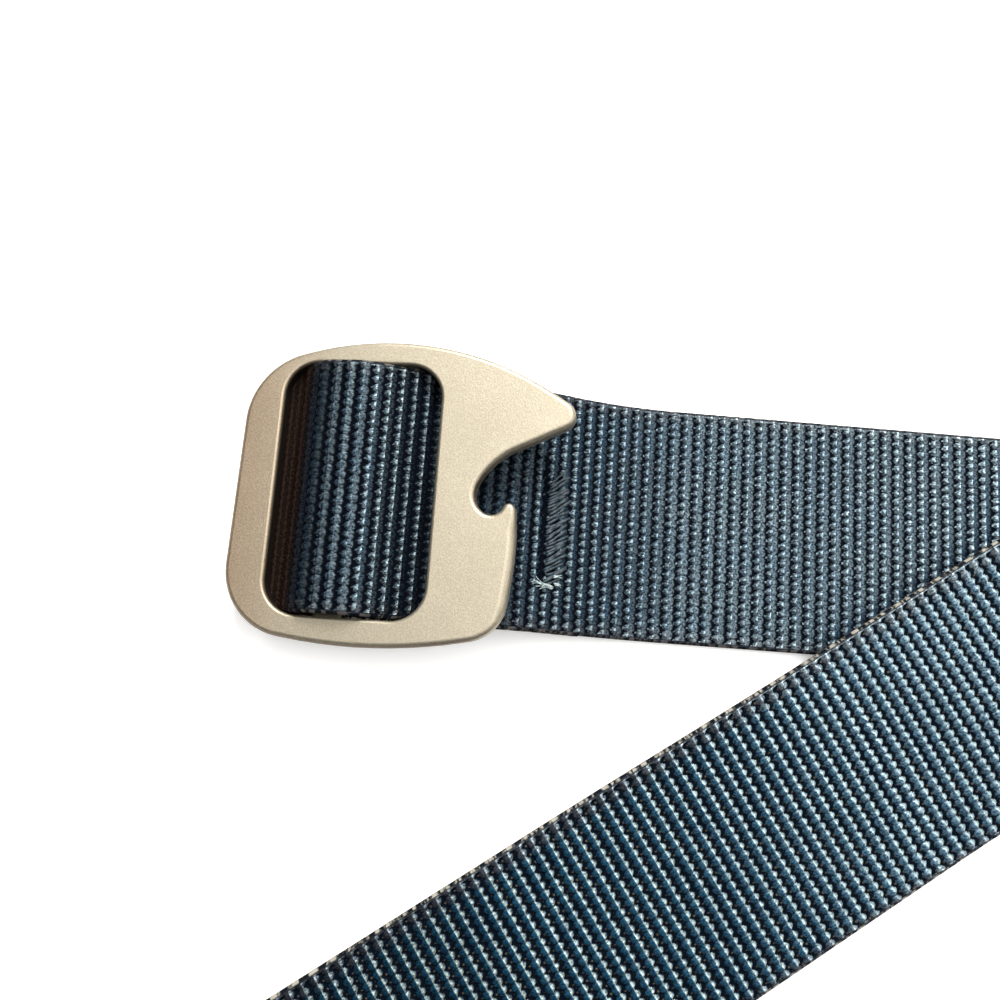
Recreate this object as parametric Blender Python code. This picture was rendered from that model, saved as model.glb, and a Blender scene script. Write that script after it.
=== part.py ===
"""Web belt with a one-piece bottle-opener buckle, lying on a flat surface.

The webbing is looped round the buckle's centre bar and sewn back under itself. It runs
along +X, turns over in one soft fold, crosses its own lower edge and ends in a plain cut.
Metres, +Z up. The surface that the belt lies on is Z = 0.
"""

import math

import bmesh
import bpy
import numpy as np

MM = 0.001

# webbing
WEB_WIDTH = 38 * MM
WEB_THICKNESS = 1.8 * MM
SELVEDGE = 0.5 * MM  # how far each long edge is rounded in
TAIL_LENGTH = 190 * MM  # from where the centrelines cross to the cut end
TIP_RADIUS = 3 * MM
LAYER_GAP = 0.3 * MM

# buckle plate, in its own plane: u to the right, v across the belt, w up from its face
PLATE_THICKNESS = 3 * MM
PLATE_TILT = math.radians(9.3)
PLATE_OFFSET_X = 0.55 * MM
PLATE_OFFSET_Y = 0.25 * MM
PLATE_HEIGHT = 10.5 * MM  # of its face at the slot's middle, held there by the loop
EDGE_RADIUS = 0.75 * MM
SLOT_WIDTH = 24.75 * MM
SLOT_HEIGHT = 39.2 * MM
SLOT_RADIUS = 5.3 * MM

# centre bar, as a rounded beam inside the plate's thickness
BAR_LEFT = -4.6 * MM
BAR_RIGHT = 0.3 * MM
BAR_RECESS = 0.3 * MM
BAR_RADIUS = 1.1 * MM
BAR_ROOT = 1.2 * MM

# how the belt lies: X from the slot's middle, Y from the buckle end's centreline
RETURN_ANGLE = math.radians(35)
CROSSING_X = 134.5 * MM
FOLD_RADIUS = 4 * MM
FOLD_HEIGHT = 10.5 * MM
FOLD_LEAN = 1.5 * MM
FOLD_LENGTH = 26 * MM
FOLD_SETTLE = 60 * MM
STEP_DOWN = 31 * MM

# corner name, u, v, radius of its rounding, in mm, anticlockwise seen from above
PLATE_OUTLINE = (
    ("left_bottom", -18.83, -21.64, 10.48),
    ("foot", 4.75, -24.84, 78.31),
    ("right_bottom", 23.87, -20.77, 6.5),
    ("bar_edge", 25.23, -8.35, 38.72),
    ("lip_outer", 24.75, -1.84, 1.07),
    ("lip_inner", 23.58, -0.49, 0.87),
    ("notch_floor", 21.74, -4.08, 1.94),
    ("notch_back", 17.76, -0.87, 3.3),
    ("throat", 20.57, 5.24, 11.45),
    ("beak_tip", 35.23, 12.42, 2.23),
    ("crown", 10.77, 27.46, 47.06),
    ("left_top", -18.15, 18.44, 11.64),
)

# bend name, X, Z of the webbing's middle, radius of its rounding, in mm, from the sewn end
WEB_PROFILE = (
    ("sewn_end", 36.8, 1.02, 0),
    ("under_tack", 26.0, 5.2, 17),
    ("lift_off", 4.0, 0.9, 30),
    ("loop_heel", -13.0, 0.9, 1.2),
    ("loop_shoulder", -5.0, 11.2, 3),
    ("loop_crown", 0.8, 12.45, 7),
    ("under_hook", 13.0, 8.1, 8),
    ("ramp_head", 26.5, 7.5, 20),
    ("ramp_foot", 42.5, 0.9, 45),
    ("flat_run", 70.0, 0.9, 0),
)

# where the slot squeezes the loop: X and Z of the webbing's middle there, reach along it,
# how far the lower and the upper long edge are drawn in, in mm
LOOP_SQUEEZE = (
    ("left_corner", -9.3, 5.9, 7.0, 3.7, 3.0),
    ("right_corner", 12.0, 8.5, 5.5, 2.0, 1.5),
)


def rounded_path(corners, closed, turn_step):
    """Points along a polygon whose corners are arcs, one point for about each turn_step."""
    corners = [(np.array(point, float), radius) for point, radius in corners]
    points = []
    for index, (corner, radius) in enumerate(corners):
        inside = 0 < index < len(corners) - 1
        if radius == 0 or not (closed or inside):
            points.append(corner)
            continue
        back = corners[index - 1][0] - corner
        ahead = corners[(index + 1) % len(corners)][0] - corner
        back /= np.linalg.norm(back)
        ahead /= np.linalg.norm(ahead)
        half = math.acos(float(back @ ahead)) / 2
        middle = (back + ahead) / np.linalg.norm(back + ahead)
        centre = corner + middle * radius / math.sin(half)
        turn = math.pi - 2 * half
        side = corner + back * radius / math.tan(half) - centre
        across = ahead * radius / math.tan(half) + corner - centre
        count = max(2, math.ceil(turn / turn_step) + 1)
        for share in np.linspace(0, 1, count):
            weights = math.sin((1 - share) * turn), math.sin(share * turn)
            spoke = (weights[0] * side + weights[1] * across) / math.sin(turn)
            points.append(centre + spoke)
    return np.array(points)


def corners_of(table):
    """The corners of a table in millimetres, as points and radii in metres."""
    return [((a * MM, b * MM), radius * MM) for _, a, b, radius in table]


def outward(loop):
    """Unit normals of a closed anticlockwise loop, pointing out."""
    along = np.roll(loop, -1, axis=0) - np.roll(loop, 1, axis=0)
    normals = np.stack([along[:, 1], -along[:, 0]], axis=1)
    return normals / np.linalg.norm(normals, axis=1)[:, None]


def new_object(name, mesh_data, colour, roughness, metallic, parent):
    """An object with its own material, shaded smooth across all but its sharp edges."""
    mesh = bpy.data.meshes.new(name)
    mesh_data.to_mesh(mesh)
    mesh_data.free()
    mesh.shade_smooth()
    mesh.set_sharp_from_angle(angle=math.radians(35))
    material = bpy.data.materials.new(name)
    material.use_nodes = True
    shader = material.node_tree.nodes["Principled BSDF"]
    shader.inputs["Base Color"].default_value = (*colour, 1)
    shader.inputs["Roughness"].default_value = roughness
    shader.inputs["Metallic"].default_value = metallic
    mesh.materials.append(material)
    made = bpy.data.objects.new(name, mesh)
    bpy.context.scene.collection.objects.link(made)
    made.parent = parent
    return made


def slot_loop():
    """The slot's outline, a rectangle with round corners, anticlockwise."""
    side, height = SLOT_WIDTH / 2, SLOT_HEIGHT / 2
    signs = ((-1, -1), (1, -1), (1, 1), (-1, 1))
    corners = [((a * side, b * height), SLOT_RADIUS) for a, b in signs]
    return rounded_path(corners, True, math.radians(11))


def plate_loop():
    return rounded_path(corners_of(PLATE_OUTLINE), True, math.radians(9))


def rounded_wall(mesh_data, loop, inward):
    """A wall through the plate along a loop, its two edges rounded. Returns its end edges."""
    steps = np.radians(np.linspace(0, 90, 4))
    inset = EDGE_RADIUS * (1 - np.sin(steps))
    drop = EDGE_RADIUS * (1 - np.cos(steps))
    rows = list(zip(inset, -drop))
    rows += [(i, d - PLATE_THICKNESS) for i, d in zip(inset[::-1], drop[::-1])]
    rings = []
    for distance, level in rows:
        points = loop + inward * distance
        rings.append([mesh_data.verts.new((u, v, level)) for u, v in points])
    count = len(loop)
    for upper, lower in zip(rings, rings[1:]):
        for i in range(count):
            j = (i + 1) % count
            mesh_data.faces.new((upper[i], lower[i], lower[j], upper[j]))
    ends = []
    for ring in (rings[0], rings[-1]):
        ends.append([mesh_data.edges.get((ring[i - 1], ring[i])) for i in range(count)])
    return ends


def buckle_plate(parent):
    """The plate with its opener hook: rounded walls round the outside and the slot."""
    mesh_data = bmesh.new()
    outer, slot = plate_loop(), slot_loop()
    outer_top, outer_bottom = rounded_wall(mesh_data, outer, -outward(outer))
    slot_top, slot_bottom = rounded_wall(mesh_data, slot, outward(slot))
    for edges in (outer_top + slot_top, outer_bottom + slot_bottom):
        bmesh.ops.triangle_fill(mesh_data, edges=edges, use_beauty=True)
    bmesh.ops.recalc_face_normals(mesh_data, faces=mesh_data.faces)
    return new_object("buckle", mesh_data, (0.62, 0.53, 0.42), 0.42, 1.0, parent)


def centre_bar(parent):
    """The rounded beam that the webbing loops round, running into the rails at both ends."""
    low, high = BAR_RECESS - PLATE_THICKNESS, -BAR_RECESS
    corners = ((BAR_LEFT, low), (BAR_RIGHT, low), (BAR_RIGHT, high), (BAR_LEFT, high))
    section = rounded_path([(c, BAR_RADIUS) for c in corners], True, math.radians(22))
    reach = SLOT_HEIGHT / 2 + BAR_ROOT
    mesh_data = bmesh.new()
    rings = [[mesh_data.verts.new((u, v, w)) for u, w in section] for v in (reach, -reach)]
    count = len(section)
    for i in range(count):
        j = (i + 1) % count
        mesh_data.faces.new((rings[0][i], rings[0][j], rings[1][j], rings[1][i]))
    for ring in rings:
        mesh_data.faces.new(ring)
    bmesh.ops.recalc_face_normals(mesh_data, faces=mesh_data.faces)
    bar = new_object("centre_bar", mesh_data, (0.62, 0.53, 0.42), 0.42, 1.0, parent)
    bar.hide_render = True
    bar.display_type = "WIRE"
    return bar


def build_buckle(belt):
    """Plate and bar as one solid, tilted, held up by the loop that fills its slot."""
    holder = bpy.data.objects.new("buckle_place", None)
    bpy.context.scene.collection.objects.link(holder)
    holder.parent = belt
    holder.location = (PLATE_OFFSET_X, PLATE_OFFSET_Y, PLATE_HEIGHT)
    holder.rotation_euler = (0, -PLATE_TILT, 0)
    buckle = buckle_plate(holder)
    join = buckle.modifiers.new("join_bar", "BOOLEAN")
    join.operation = "UNION"
    join.object = centre_bar(holder)
    return buckle


class Track:
    """A side view of the webbing's middle: where each length along it comes to lie."""

    def __init__(self, corners):
        self.points = rounded_path(corners, False, math.radians(2))
        steps = np.linalg.norm(np.diff(self.points, axis=0), axis=1)
        self.lengths = np.concatenate([[0], np.cumsum(steps)])

    def at(self, length):
        return [np.interp(length, self.lengths, self.points[:, axis]) for axis in (0, 1)]

    def nearest(self, x, z):
        """The length along the track at its point nearest to X and Z."""
        return self.lengths[np.argmin(np.hypot(*(self.points - (x, z)).T))]

    def bends(self, turn_step):
        """Lengths at which the track has turned by another turn_step."""
        along = np.diff(self.points, axis=0)
        heading = np.unwrap(np.arctan2(along[:, 1], along[:, 0]))
        turned = np.concatenate([[0], np.cumsum(np.abs(np.diff(heading)))])
        marks = np.arange(0, turned[-1], turn_step)
        return np.interp(marks, turned, self.lengths[:-1])


def fold_track():
    """The fold, seen along its crease: out on the surface, up, over and back on top."""
    low = WEB_THICKNESS / 2
    high = low + WEB_THICKNESS + LAYER_GAP
    crease = CROSSING_X * math.cos(RETURN_ANGLE / 2)
    reach = 200 * MM

    def corners(shift):
        return [
            ((shift - reach, low), 0),
            ((shift, low), FOLD_RADIUS),
            ((shift + FOLD_LEAN, FOLD_HEIGHT), FOLD_RADIUS),
            ((shift - FOLD_LENGTH, high), FOLD_SETTLE),
            ((shift - reach, high), 0),
        ]

    trial = Track(corners(0))
    flat_length = trial.lengths[-1] - reach
    shift = crease - (flat_length - reach) / 2
    return Track(corners(shift)), shift - reach


def step_down(y):
    """How far the upper layer has sunk, past the lower webbing's edge, at this Y."""
    share = np.clip((-WEB_WIDTH / 2 - LAYER_GAP - y) / STEP_DOWN, 0, 1)
    return (WEB_THICKNESS + LAYER_GAP) * share**2 * (3 - 2 * share)


class Belt:
    """The webbing's middle surface, by length along it and distance across it."""

    def __init__(self):
        self.profile = Track(corners_of(WEB_PROFILE))
        self.fold, self.fold_start = fold_track()
        last_x, _ = self.profile.points[-1]
        self.flat_from = self.profile.lengths[-1]
        self.flat_shift = last_x - self.flat_from
        self.length = CROSSING_X + TAIL_LENGTH - self.flat_shift

    def surface(self, along, across):
        """Formula: X and Z from the side view while flat_from lies ahead, and past it the
        flat strip's distance from the crease, taken through the fold's own side view."""
        side_x, side_z = self.profile.at(along)
        flat_x = along + self.flat_shift
        cos, sin = math.cos(RETURN_ANGLE / 2), math.sin(RETURN_ANGLE / 2)
        toward = flat_x * cos + across * sin
        beside = across * cos - flat_x * sin
        fold_x, fold_z = self.fold.at(toward - self.fold_start)
        overrun = np.maximum(toward - self.fold_start - self.fold.lengths[-1], 0)
        fold_x = fold_x - overrun
        x = fold_x * cos - beside * sin
        y = fold_x * sin + beside * cos
        returned = fold_z > WEB_THICKNESS
        z = fold_z - np.where(returned, step_down(y), 0)
        flat = along > self.flat_from
        return np.stack(
            [np.where(flat, x, side_x), np.where(flat, y, across), np.where(flat, z, side_z)],
            axis=-1,
        )

    def edges(self, along):
        """Distances across to the lower and the upper long edge: half the width each way,
        less a quarter circle at the tip and less the widest squeeze that reaches here."""
        inside = np.clip((along - (self.length - TIP_RADIUS)) / TIP_RADIUS, 0, 1)
        half_width = WEB_WIDTH / 2 - TIP_RADIUS * (1 - np.sqrt(1 - inside**2))
        lower, upper = np.zeros_like(along), np.zeros_like(along)
        for _, x, z, reach, low, high in LOOP_SQUEEZE:
            away = (along - self.profile.nearest(x * MM, z * MM)) / (reach * MM)
            share = np.cos(np.clip(away, -1, 1) * math.pi / 2) ** 2
            lower = np.maximum(lower, low * MM * share)
            upper = np.maximum(upper, high * MM * share)
        return lower - half_width, half_width - upper

    def stations(self):
        """Lengths along the belt where a section is set, closer together in the bends."""
        marks = [self.profile.bends(math.radians(13))]
        skew = WEB_WIDTH / 2 * math.tan(RETURN_ANGLE / 2)
        scale = 1 / math.cos(RETURN_ANGLE / 2)
        bends = (self.fold.bends(math.radians(6)) + self.fold_start) * scale
        first, last = bends[1] - skew, bends[-1] + skew
        first, last = first - self.flat_shift, last - self.flat_shift
        marks.append(np.arange(0, self.flat_from, 3 * MM))
        marks.append(np.linspace(self.flat_from, first, 3))
        marks.append(np.linspace(first, last, 40))
        marks.append(np.linspace(last, self.length - TIP_RADIUS, 40))
        corner = np.sin(np.radians(np.linspace(0, 80, 5)))
        marks.append(self.length - TIP_RADIUS * (1 - corner))
        marks.append([0, self.length])
        marks = np.unique(np.concatenate(marks))
        apart = np.concatenate([[True], np.diff(marks) > 0.2 * MM])
        return marks[apart]


def build_webbing(belt):
    """A closed strip: both faces are the middle surface, moved half the thickness out,
    and each long edge is drawn to the middle of the thickness."""
    layout = Belt()
    along = layout.stations()[:, None]
    low_edge, high_edge = layout.edges(along)
    share = np.linspace(0, 1, 9)[None, :]
    across = (low_edge + SELVEDGE) * (1 - share) + (high_edge - SELVEDGE) * share
    along = np.broadcast_to(along, across.shape)
    middle = layout.surface(along, across)
    nudge = 0.05 * MM
    ahead = layout.surface(along + nudge, across) - layout.surface(along - nudge, across)
    sideways = layout.surface(along, across + nudge) - layout.surface(along, across - nudge)
    normal = np.cross(ahead, sideways)
    normal /= np.linalg.norm(normal, axis=-1)[..., None]
    upper = middle + normal * WEB_THICKNESS / 2
    lower = middle - normal * WEB_THICKNESS / 2
    low_side = layout.surface(along[:, :1], low_edge)
    high_side = layout.surface(along[:, :1], high_edge)
    rings = np.concatenate([upper, high_side, lower[:, ::-1], low_side], axis=1)
    mesh_data = bmesh.new()
    rows = [[mesh_data.verts.new(point) for point in ring] for ring in rings]
    count = rings.shape[1]
    for row, following in zip(rows, rows[1:]):
        for i in range(count):
            j = (i + 1) % count
            mesh_data.faces.new((row[i], row[j], following[j], following[i]))
    for row in (rows[0], rows[-1]):
        mesh_data.faces.new(row)
    bmesh.ops.recalc_face_normals(mesh_data, faces=mesh_data.faces)
    return new_object("webbing", mesh_data, (0.045, 0.075, 0.11), 0.75, 0.0, belt)


def clear_scene():
    for old in list(bpy.data.objects):
        bpy.data.objects.remove(old)


def centre_on_surface(belt, parts):
    """Moves the belt so that the origin is the middle of its box's lowest face."""
    bpy.context.view_layer.update()
    points = [part.matrix_world @ v.co for part in parts for v in part.data.vertices]
    low, high = np.min(points, axis=0), np.max(points, axis=0)
    belt.location = (-(low[0] + high[0]) / 2, -(low[1] + high[1]) / 2, -low[2])


def main():
    clear_scene()
    belt = bpy.data.objects.new("web_belt", None)
    bpy.context.scene.collection.objects.link(belt)
    parts = [build_buckle(belt), build_webbing(belt)]
    centre_on_surface(belt, parts)
    return parts


if __name__ == "__main__":
    main()
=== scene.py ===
import math

import bmesh
import bpy
import numpy as np
from mathutils import Euler, Matrix, Vector


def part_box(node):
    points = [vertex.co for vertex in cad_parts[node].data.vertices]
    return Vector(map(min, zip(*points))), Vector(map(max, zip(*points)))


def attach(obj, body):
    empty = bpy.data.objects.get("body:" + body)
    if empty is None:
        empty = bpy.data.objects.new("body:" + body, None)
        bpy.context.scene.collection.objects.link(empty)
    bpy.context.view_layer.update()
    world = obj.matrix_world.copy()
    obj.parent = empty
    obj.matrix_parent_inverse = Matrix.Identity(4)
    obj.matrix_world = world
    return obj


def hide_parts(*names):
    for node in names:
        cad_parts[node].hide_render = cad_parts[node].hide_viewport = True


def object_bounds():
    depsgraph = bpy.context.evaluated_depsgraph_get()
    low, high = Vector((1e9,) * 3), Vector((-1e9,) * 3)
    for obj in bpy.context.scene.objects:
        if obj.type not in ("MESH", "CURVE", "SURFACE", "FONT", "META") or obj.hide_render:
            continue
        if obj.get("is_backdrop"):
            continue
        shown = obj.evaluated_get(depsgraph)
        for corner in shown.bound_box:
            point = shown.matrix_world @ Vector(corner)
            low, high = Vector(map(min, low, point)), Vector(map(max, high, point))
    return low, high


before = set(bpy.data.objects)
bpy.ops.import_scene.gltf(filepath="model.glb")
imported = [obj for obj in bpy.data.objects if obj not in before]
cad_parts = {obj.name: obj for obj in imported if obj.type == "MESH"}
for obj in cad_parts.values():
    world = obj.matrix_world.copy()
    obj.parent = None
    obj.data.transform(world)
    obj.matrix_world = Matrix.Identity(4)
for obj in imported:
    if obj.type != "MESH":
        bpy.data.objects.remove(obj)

mm = 0.001
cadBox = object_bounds()
print("frame loaded, box in mm", [round((b - a) / mm, 1) for a, b in zip(*cadBox)])


# Shader maths: a Wire is one output socket, and an expression on wires adds its Math nodes
class Wire:
    def __init__(self, paint, socket):
        self.paint = paint
        self.socket = socket

    def math(self, operation, *others):
        inputs = dict(enumerate((self, *others)))
        return self.paint.node("ShaderNodeMath", {"operation": operation}, inputs)

    def __add__(self, other):
        return self.math("ADD", other)

    def __radd__(self, other):
        return self + other

    def __sub__(self, other):
        return self.math("SUBTRACT", other)

    def __rsub__(self, other):
        return -self + other

    def __mul__(self, other):
        return self.math("MULTIPLY", other)

    def __rmul__(self, other):
        return self * other

    def __neg__(self):
        return self.math("MULTIPLY", -1.0)

    def __pow__(self, other):
        return self.math("POWER", other)

    def __mod__(self, other):
        return self.math("FLOORED_MODULO", other)

    def __lt__(self, other):
        return self.math("LESS_THAN", other)

    def absolute(self):
        return self.math("ABSOLUTE")

    def floor(self):
        return self.math("FLOOR")

    def fraction(self):
        return self.math("FRACT")

    def between(self, low, high):
        # 0 below low, 1 above high, smooth in the middle
        settings = {"interpolation_type": "SMOOTHSTEP"}
        return self.paint.node("ShaderNodeMapRange", settings, {0: self, 1: low, 2: high})


class Paint:
    def __init__(self, name):
        self.material = bpy.data.materials.new(name)
        self.material.use_nodes = True
        self.tree = self.material.node_tree
        self.shader = self.tree.nodes["Principled BSDF"]

    def node(self, kind, settings=None, inputs=None, out=0):
        # any node: its type, then its settings, then its sockets' values or links
        made = self.tree.nodes.new(kind)
        for key, value in (settings or {}).items():
            setattr(made, key, value)
        self.plug(made, inputs or {})
        return Wire(self, made.outputs[out])

    def plug(self, made, inputs):
        for key, value in inputs.items():
            if isinstance(value, Wire):
                self.tree.links.new(value.socket, made.inputs[key])
            else:
                made.inputs[key].default_value = value

    def mix(self, share, first, second, blend="MIX"):
        settings = {"data_type": "RGBA", "blend_type": blend}
        first, second = (c if isinstance(c, Wire) else (*c, 1) for c in (first, second))
        return self.node("ShaderNodeMix", settings, {0: share, 6: first, 7: second}, 2)

    def times(self, colour, tint):
        return self.mix(1.0, colour, tint, "MULTIPLY")

    def vector(self, x, y, z=0.0):
        return self.node("ShaderNodeCombineXYZ", None, {0: x, 1: y, 2: z})

    def split(self, vector):
        made = self.node("ShaderNodeSeparateXYZ", None, {0: vector})
        return [Wire(self, socket) for socket in made.socket.node.outputs]

    def place(self):
        # Object coordinates, in metres
        return self.node("ShaderNodeTexCoord", None, None, 3)

    def noise(self, vector, scale, detail=2.0, rough=0.5):
        inputs = {"Vector": vector, "Scale": scale, "Detail": detail, "Roughness": rough}
        return self.node("ShaderNodeTexNoise", None, inputs)

    def attribute(self, name):
        return self.node("ShaderNodeAttribute", {"attribute_name": name}, None, 2)

    def bump(self, height, strength, distance):
        inputs = {"Height": height, "Strength": strength, "Distance": distance}
        return self.node("ShaderNodeBump", None, inputs)

    def finish(self, **inputs):
        self.plug(self.shader, {key.replace("_", " "): value for key, value in inputs.items()})
        return self.material

    def cover(self, share, under):
        # the main shader shows where share is 1, the other one where it is 0
        main = Wire(self, self.shader.outputs[0])
        mixed = self.node("ShaderNodeMixShader", None, {0: share, 1: under, 2: main})
        self.tree.links.new(mixed.socket, self.tree.nodes["Material Output"].inputs[0])
        return self.material


# Curves in a plane, from corners that are rounded to arcs
def roundedPath(corners, closed, turnStep):
    # each corner (a, b, radius) becomes an arc: centre plus a spoke turned from side to side
    points = []
    spots = [np.array(corner[:2], float) for corner in corners]
    for index, (*_, radius) in enumerate(corners):
        inside = 0 < index < len(corners) - 1
        if radius == 0 or not (closed or inside):
            points.append(spots[index][None])
            continue
        back = spots[index - 1] - spots[index]
        ahead = spots[(index + 1) % len(corners)] - spots[index]
        back /= np.linalg.norm(back)
        ahead /= np.linalg.norm(ahead)
        half = math.acos(float(back @ ahead)) / 2
        middle = (back + ahead) / np.linalg.norm(back + ahead)
        centre = spots[index] + middle * radius / math.sin(half)
        turn = math.pi - 2 * half
        first = spots[index] + back * radius / math.tan(half) - centre
        last = spots[index] + ahead * radius / math.tan(half) - centre
        share = np.linspace(0, 1, max(2, math.ceil(turn / turnStep) + 1))[:, None]
        spokes = np.sin((1 - share) * turn) * first + np.sin(share * turn) * last
        points.append(centre + spokes / math.sin(turn))
    return np.concatenate(points)


def smooth(share):
    share = np.clip(share, 0, 1)
    return share * share * (3 - 2 * share)


class Track:
    # a side view of the strap's middle: where each length along it comes to lie
    def __init__(self, corners):
        self.points = roundedPath(corners, False, math.radians(1))
        steps = np.linalg.norm(np.diff(self.points, axis=0), axis=1)
        self.lengths = np.concatenate([[0], np.cumsum(steps)])

    def at(self, length):
        return [np.interp(length, self.lengths, self.points[:, axis]) for axis in (0, 1)]

    def nearest(self, x, z):
        return self.lengths[np.argmin(np.hypot(*(self.points - (x, z)).T))]

    def within(self, along, span):
        # 1 on a stretch from one spot to another, with a smooth step at either end
        first = self.nearest(*span["start"]) - span["early"]
        last = self.nearest(*span["end"])
        return smooth((along - first) / span["rise"]) * smooth((last - along) / span["fall"])


# How the strap lies, as in the frame: lengths in mm, x from the slot's middle
strap = {
    "width": 38.0,
    "thickness": 1.8,
    "tipRadius": 3.0,
    "layerGap": 0.3,
    "returnAngle": math.radians(35),
    "crossing": 134.5,
    "tail": 190.0,
    "foldRadius": 4.0,
    "foldHeight": 10.5,
    "foldLean": 1.5,
    "foldLength": 26.0,
    "foldSettle": 60.0,
    "stepDown": 31.0,
    "reach": 200.0,
}
# x, z, bend radius of the side view from the sewn end round the bar to the flat run
sideView = (
    (36.8, 1.02, 0),
    (26.0, 5.2, 17),
    (4.0, 0.9, 30),
    (-13.0, 0.9, 1.2),
    (-5.0, 11.2, 3),
    (0.8, 12.45, 7),
    (13.0, 8.1, 8),
    (26.5, 7.5, 20),
    (42.5, 0.9, 45),
    (70.0, 0.9, 0),
)
# x, z, reach, and how far the lower and the upper edge are drawn in
squeezes = (
    (-9.3, 5.9, 6.0, 1.6, 0.6),
    (12.0, 8.5, 5.0, 0.6, 0.0),
)
# stretches of the side view: start and end x, z, how much earlier it starts, and the lengths
# over which it rises and falls
leaning = {  # in the slot the upper edge lies against the rail
    "start": (-13.0, 0.9),
    "early": 0.0,
    "end": (17.0, 7.9),
    "rise": 4.0,
    "fall": 6.0,
    "by": 0.75,
}
shadedFlank = {  # the loop's left flank is smoothed, and painted with dark brown shade
    "start": (-13.0, 0.9),
    "early": 12.0,
    "end": (-6.8, 9.3),
    "rise": 6.0,
    "fall": 4.0,
    "level": 0.75,
    "smoothed": 0.7,
}
openWeave = {  # round the loop the upper face's floats stand apart
    "start": (-8.0, 8.0),
    "early": 0.0,
    "end": (16.0, 7.9),
    "rise": 3.0,
    "fall": 4.0,
    "sunk": 0.14,
}
railShadow = {  # painted shadow beside the slot's right rail, where only the teeth keep a painted glint
    "start": (6.6, 10.5),
    "early": 0.0,
    "end": (16.0, 7.9),
    "rise": 2.5,
    "fall": 3.0,
}


class StrapPath:
    def __init__(self):
        self.side = Track(sideView)
        self.flatFrom = self.side.lengths[-1]
        self.flatShift = self.side.points[-1][0] - self.flatFrom
        self.length = strap["crossing"] + strap["tail"] - self.flatShift
        trial = Track(self.foldCorners(0))
        flat = trial.lengths[-1] - strap["reach"]
        crease = strap["crossing"] * math.cos(strap["returnAngle"] / 2)
        shift = crease - (flat - strap["reach"]) / 2
        self.fold = Track(self.foldCorners(shift))
        self.foldFrom = shift - strap["reach"]

    def foldCorners(self, shift):
        low = strap["thickness"] / 2
        high = low + strap["thickness"] + strap["layerGap"]
        return (
            (shift - strap["reach"], low, 0),
            (shift, low, strap["foldRadius"]),
            (shift + strap["foldLean"], strap["foldHeight"], strap["foldRadius"]),
            (shift - strap["foldLength"], high, strap["foldSettle"]),
            (shift - strap["reach"], high, 0),
        )

    def middle(self, along, across):
        # the side view's x and z near the buckle; past it the flat strip's distance from the
        # crease goes through the fold's own side view, and turns back by the return angle
        sideX, sideZ = self.side.at(along)
        flatX = along + self.flatShift
        cos, sin = (f(strap["returnAngle"] / 2) for f in (math.cos, math.sin))
        toward = flatX * cos + across * sin
        beside = across * cos - flatX * sin
        foldX, foldZ = self.fold.at(toward - self.foldFrom)
        foldX = foldX - np.maximum(toward - self.foldFrom - self.fold.lengths[-1], 0)
        x, y = foldX * cos - beside * sin, foldX * sin + beside * cos
        over = strap["thickness"] + strap["layerGap"]
        sunk = smooth((-strap["width"] / 2 - strap["layerGap"] - y) / strap["stepDown"])
        z = foldZ - np.where(foldZ > strap["thickness"], over * sunk, 0)
        flat = along > self.flatFrom
        return np.stack([np.where(flat, x, sideX), np.where(flat, y, across),
                         np.where(flat, z, sideZ)], axis=-1)

    def edges(self, along):
        # half the width each way, less a quarter circle at the tip and less the squeeze
        tip = strap["tipRadius"]
        inside = np.clip((along - (self.length - tip)) / tip, 0, 1)
        half = strap["width"] / 2 - tip * (1 - np.sqrt(1 - inside**2))
        lower, upper = np.zeros_like(along), np.zeros_like(along)
        for x, z, reach, low, high in squeezes:
            away = np.clip((along - self.side.nearest(x, z)) / reach, -1, 1)
            share = np.cos(away * math.pi / 2) ** 2
            lower = np.maximum(lower, low * share)
            upper = np.maximum(upper, high * share)
        lean = leaning["by"] * self.side.within(along, leaning)
        return lower - half, half - upper + lean

    def surface(self, along, across):
        # the middle surface and its unit normal, from steps along and across
        step = 0.05
        ahead = self.middle(along + step, across) - self.middle(along - step, across)
        aside = self.middle(along, across + step) - self.middle(along, across - step)
        normal = np.cross(ahead, aside)
        normal /= np.linalg.norm(normal, axis=-1)[..., None]
        return self.middle(along, across), normal


path = StrapPath()
print("strap laid out, length in mm", round(path.length, 1))


# Mesh helpers
def newObject(name, data):
    made = bpy.data.objects.new(name, data)
    bpy.context.scene.collection.objects.link(made)
    return made


def newPiece(name, mesh):
    made = newObject(name, mesh)
    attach(made, "root")
    return made


def newMesh(name, points, faces):
    mesh = bpy.data.meshes.new(name)
    mesh.from_pydata(points.reshape(-1, 3).tolist(), [], [list(face) for face in faces])
    mesh.shade_smooth()
    return mesh


def outwardFaces(mesh):
    work = bmesh.new()
    work.from_mesh(mesh)
    bmesh.ops.recalc_face_normals(work, faces=work.faces)
    work.to_mesh(mesh)
    work.free()


def tube(count, around):
    # quads between rings that each close on themselves: (ring, point) grids of indices
    ring, point = np.meshgrid(np.arange(count - 1), np.arange(around), indexing="ij")
    beside = (point + 1) % around
    corners = (ring, point), (ring, beside), (ring + 1, beside), (ring + 1, point)
    return np.stack([a * around + b for a, b in corners], axis=-1).reshape(-1, 4)


def capped(count, around):
    # a tube's quads with a face at either end
    last = (count - 1) * around
    return [*tube(count, around), range(around - 1, -1, -1), range(last, last + around)]


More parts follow.
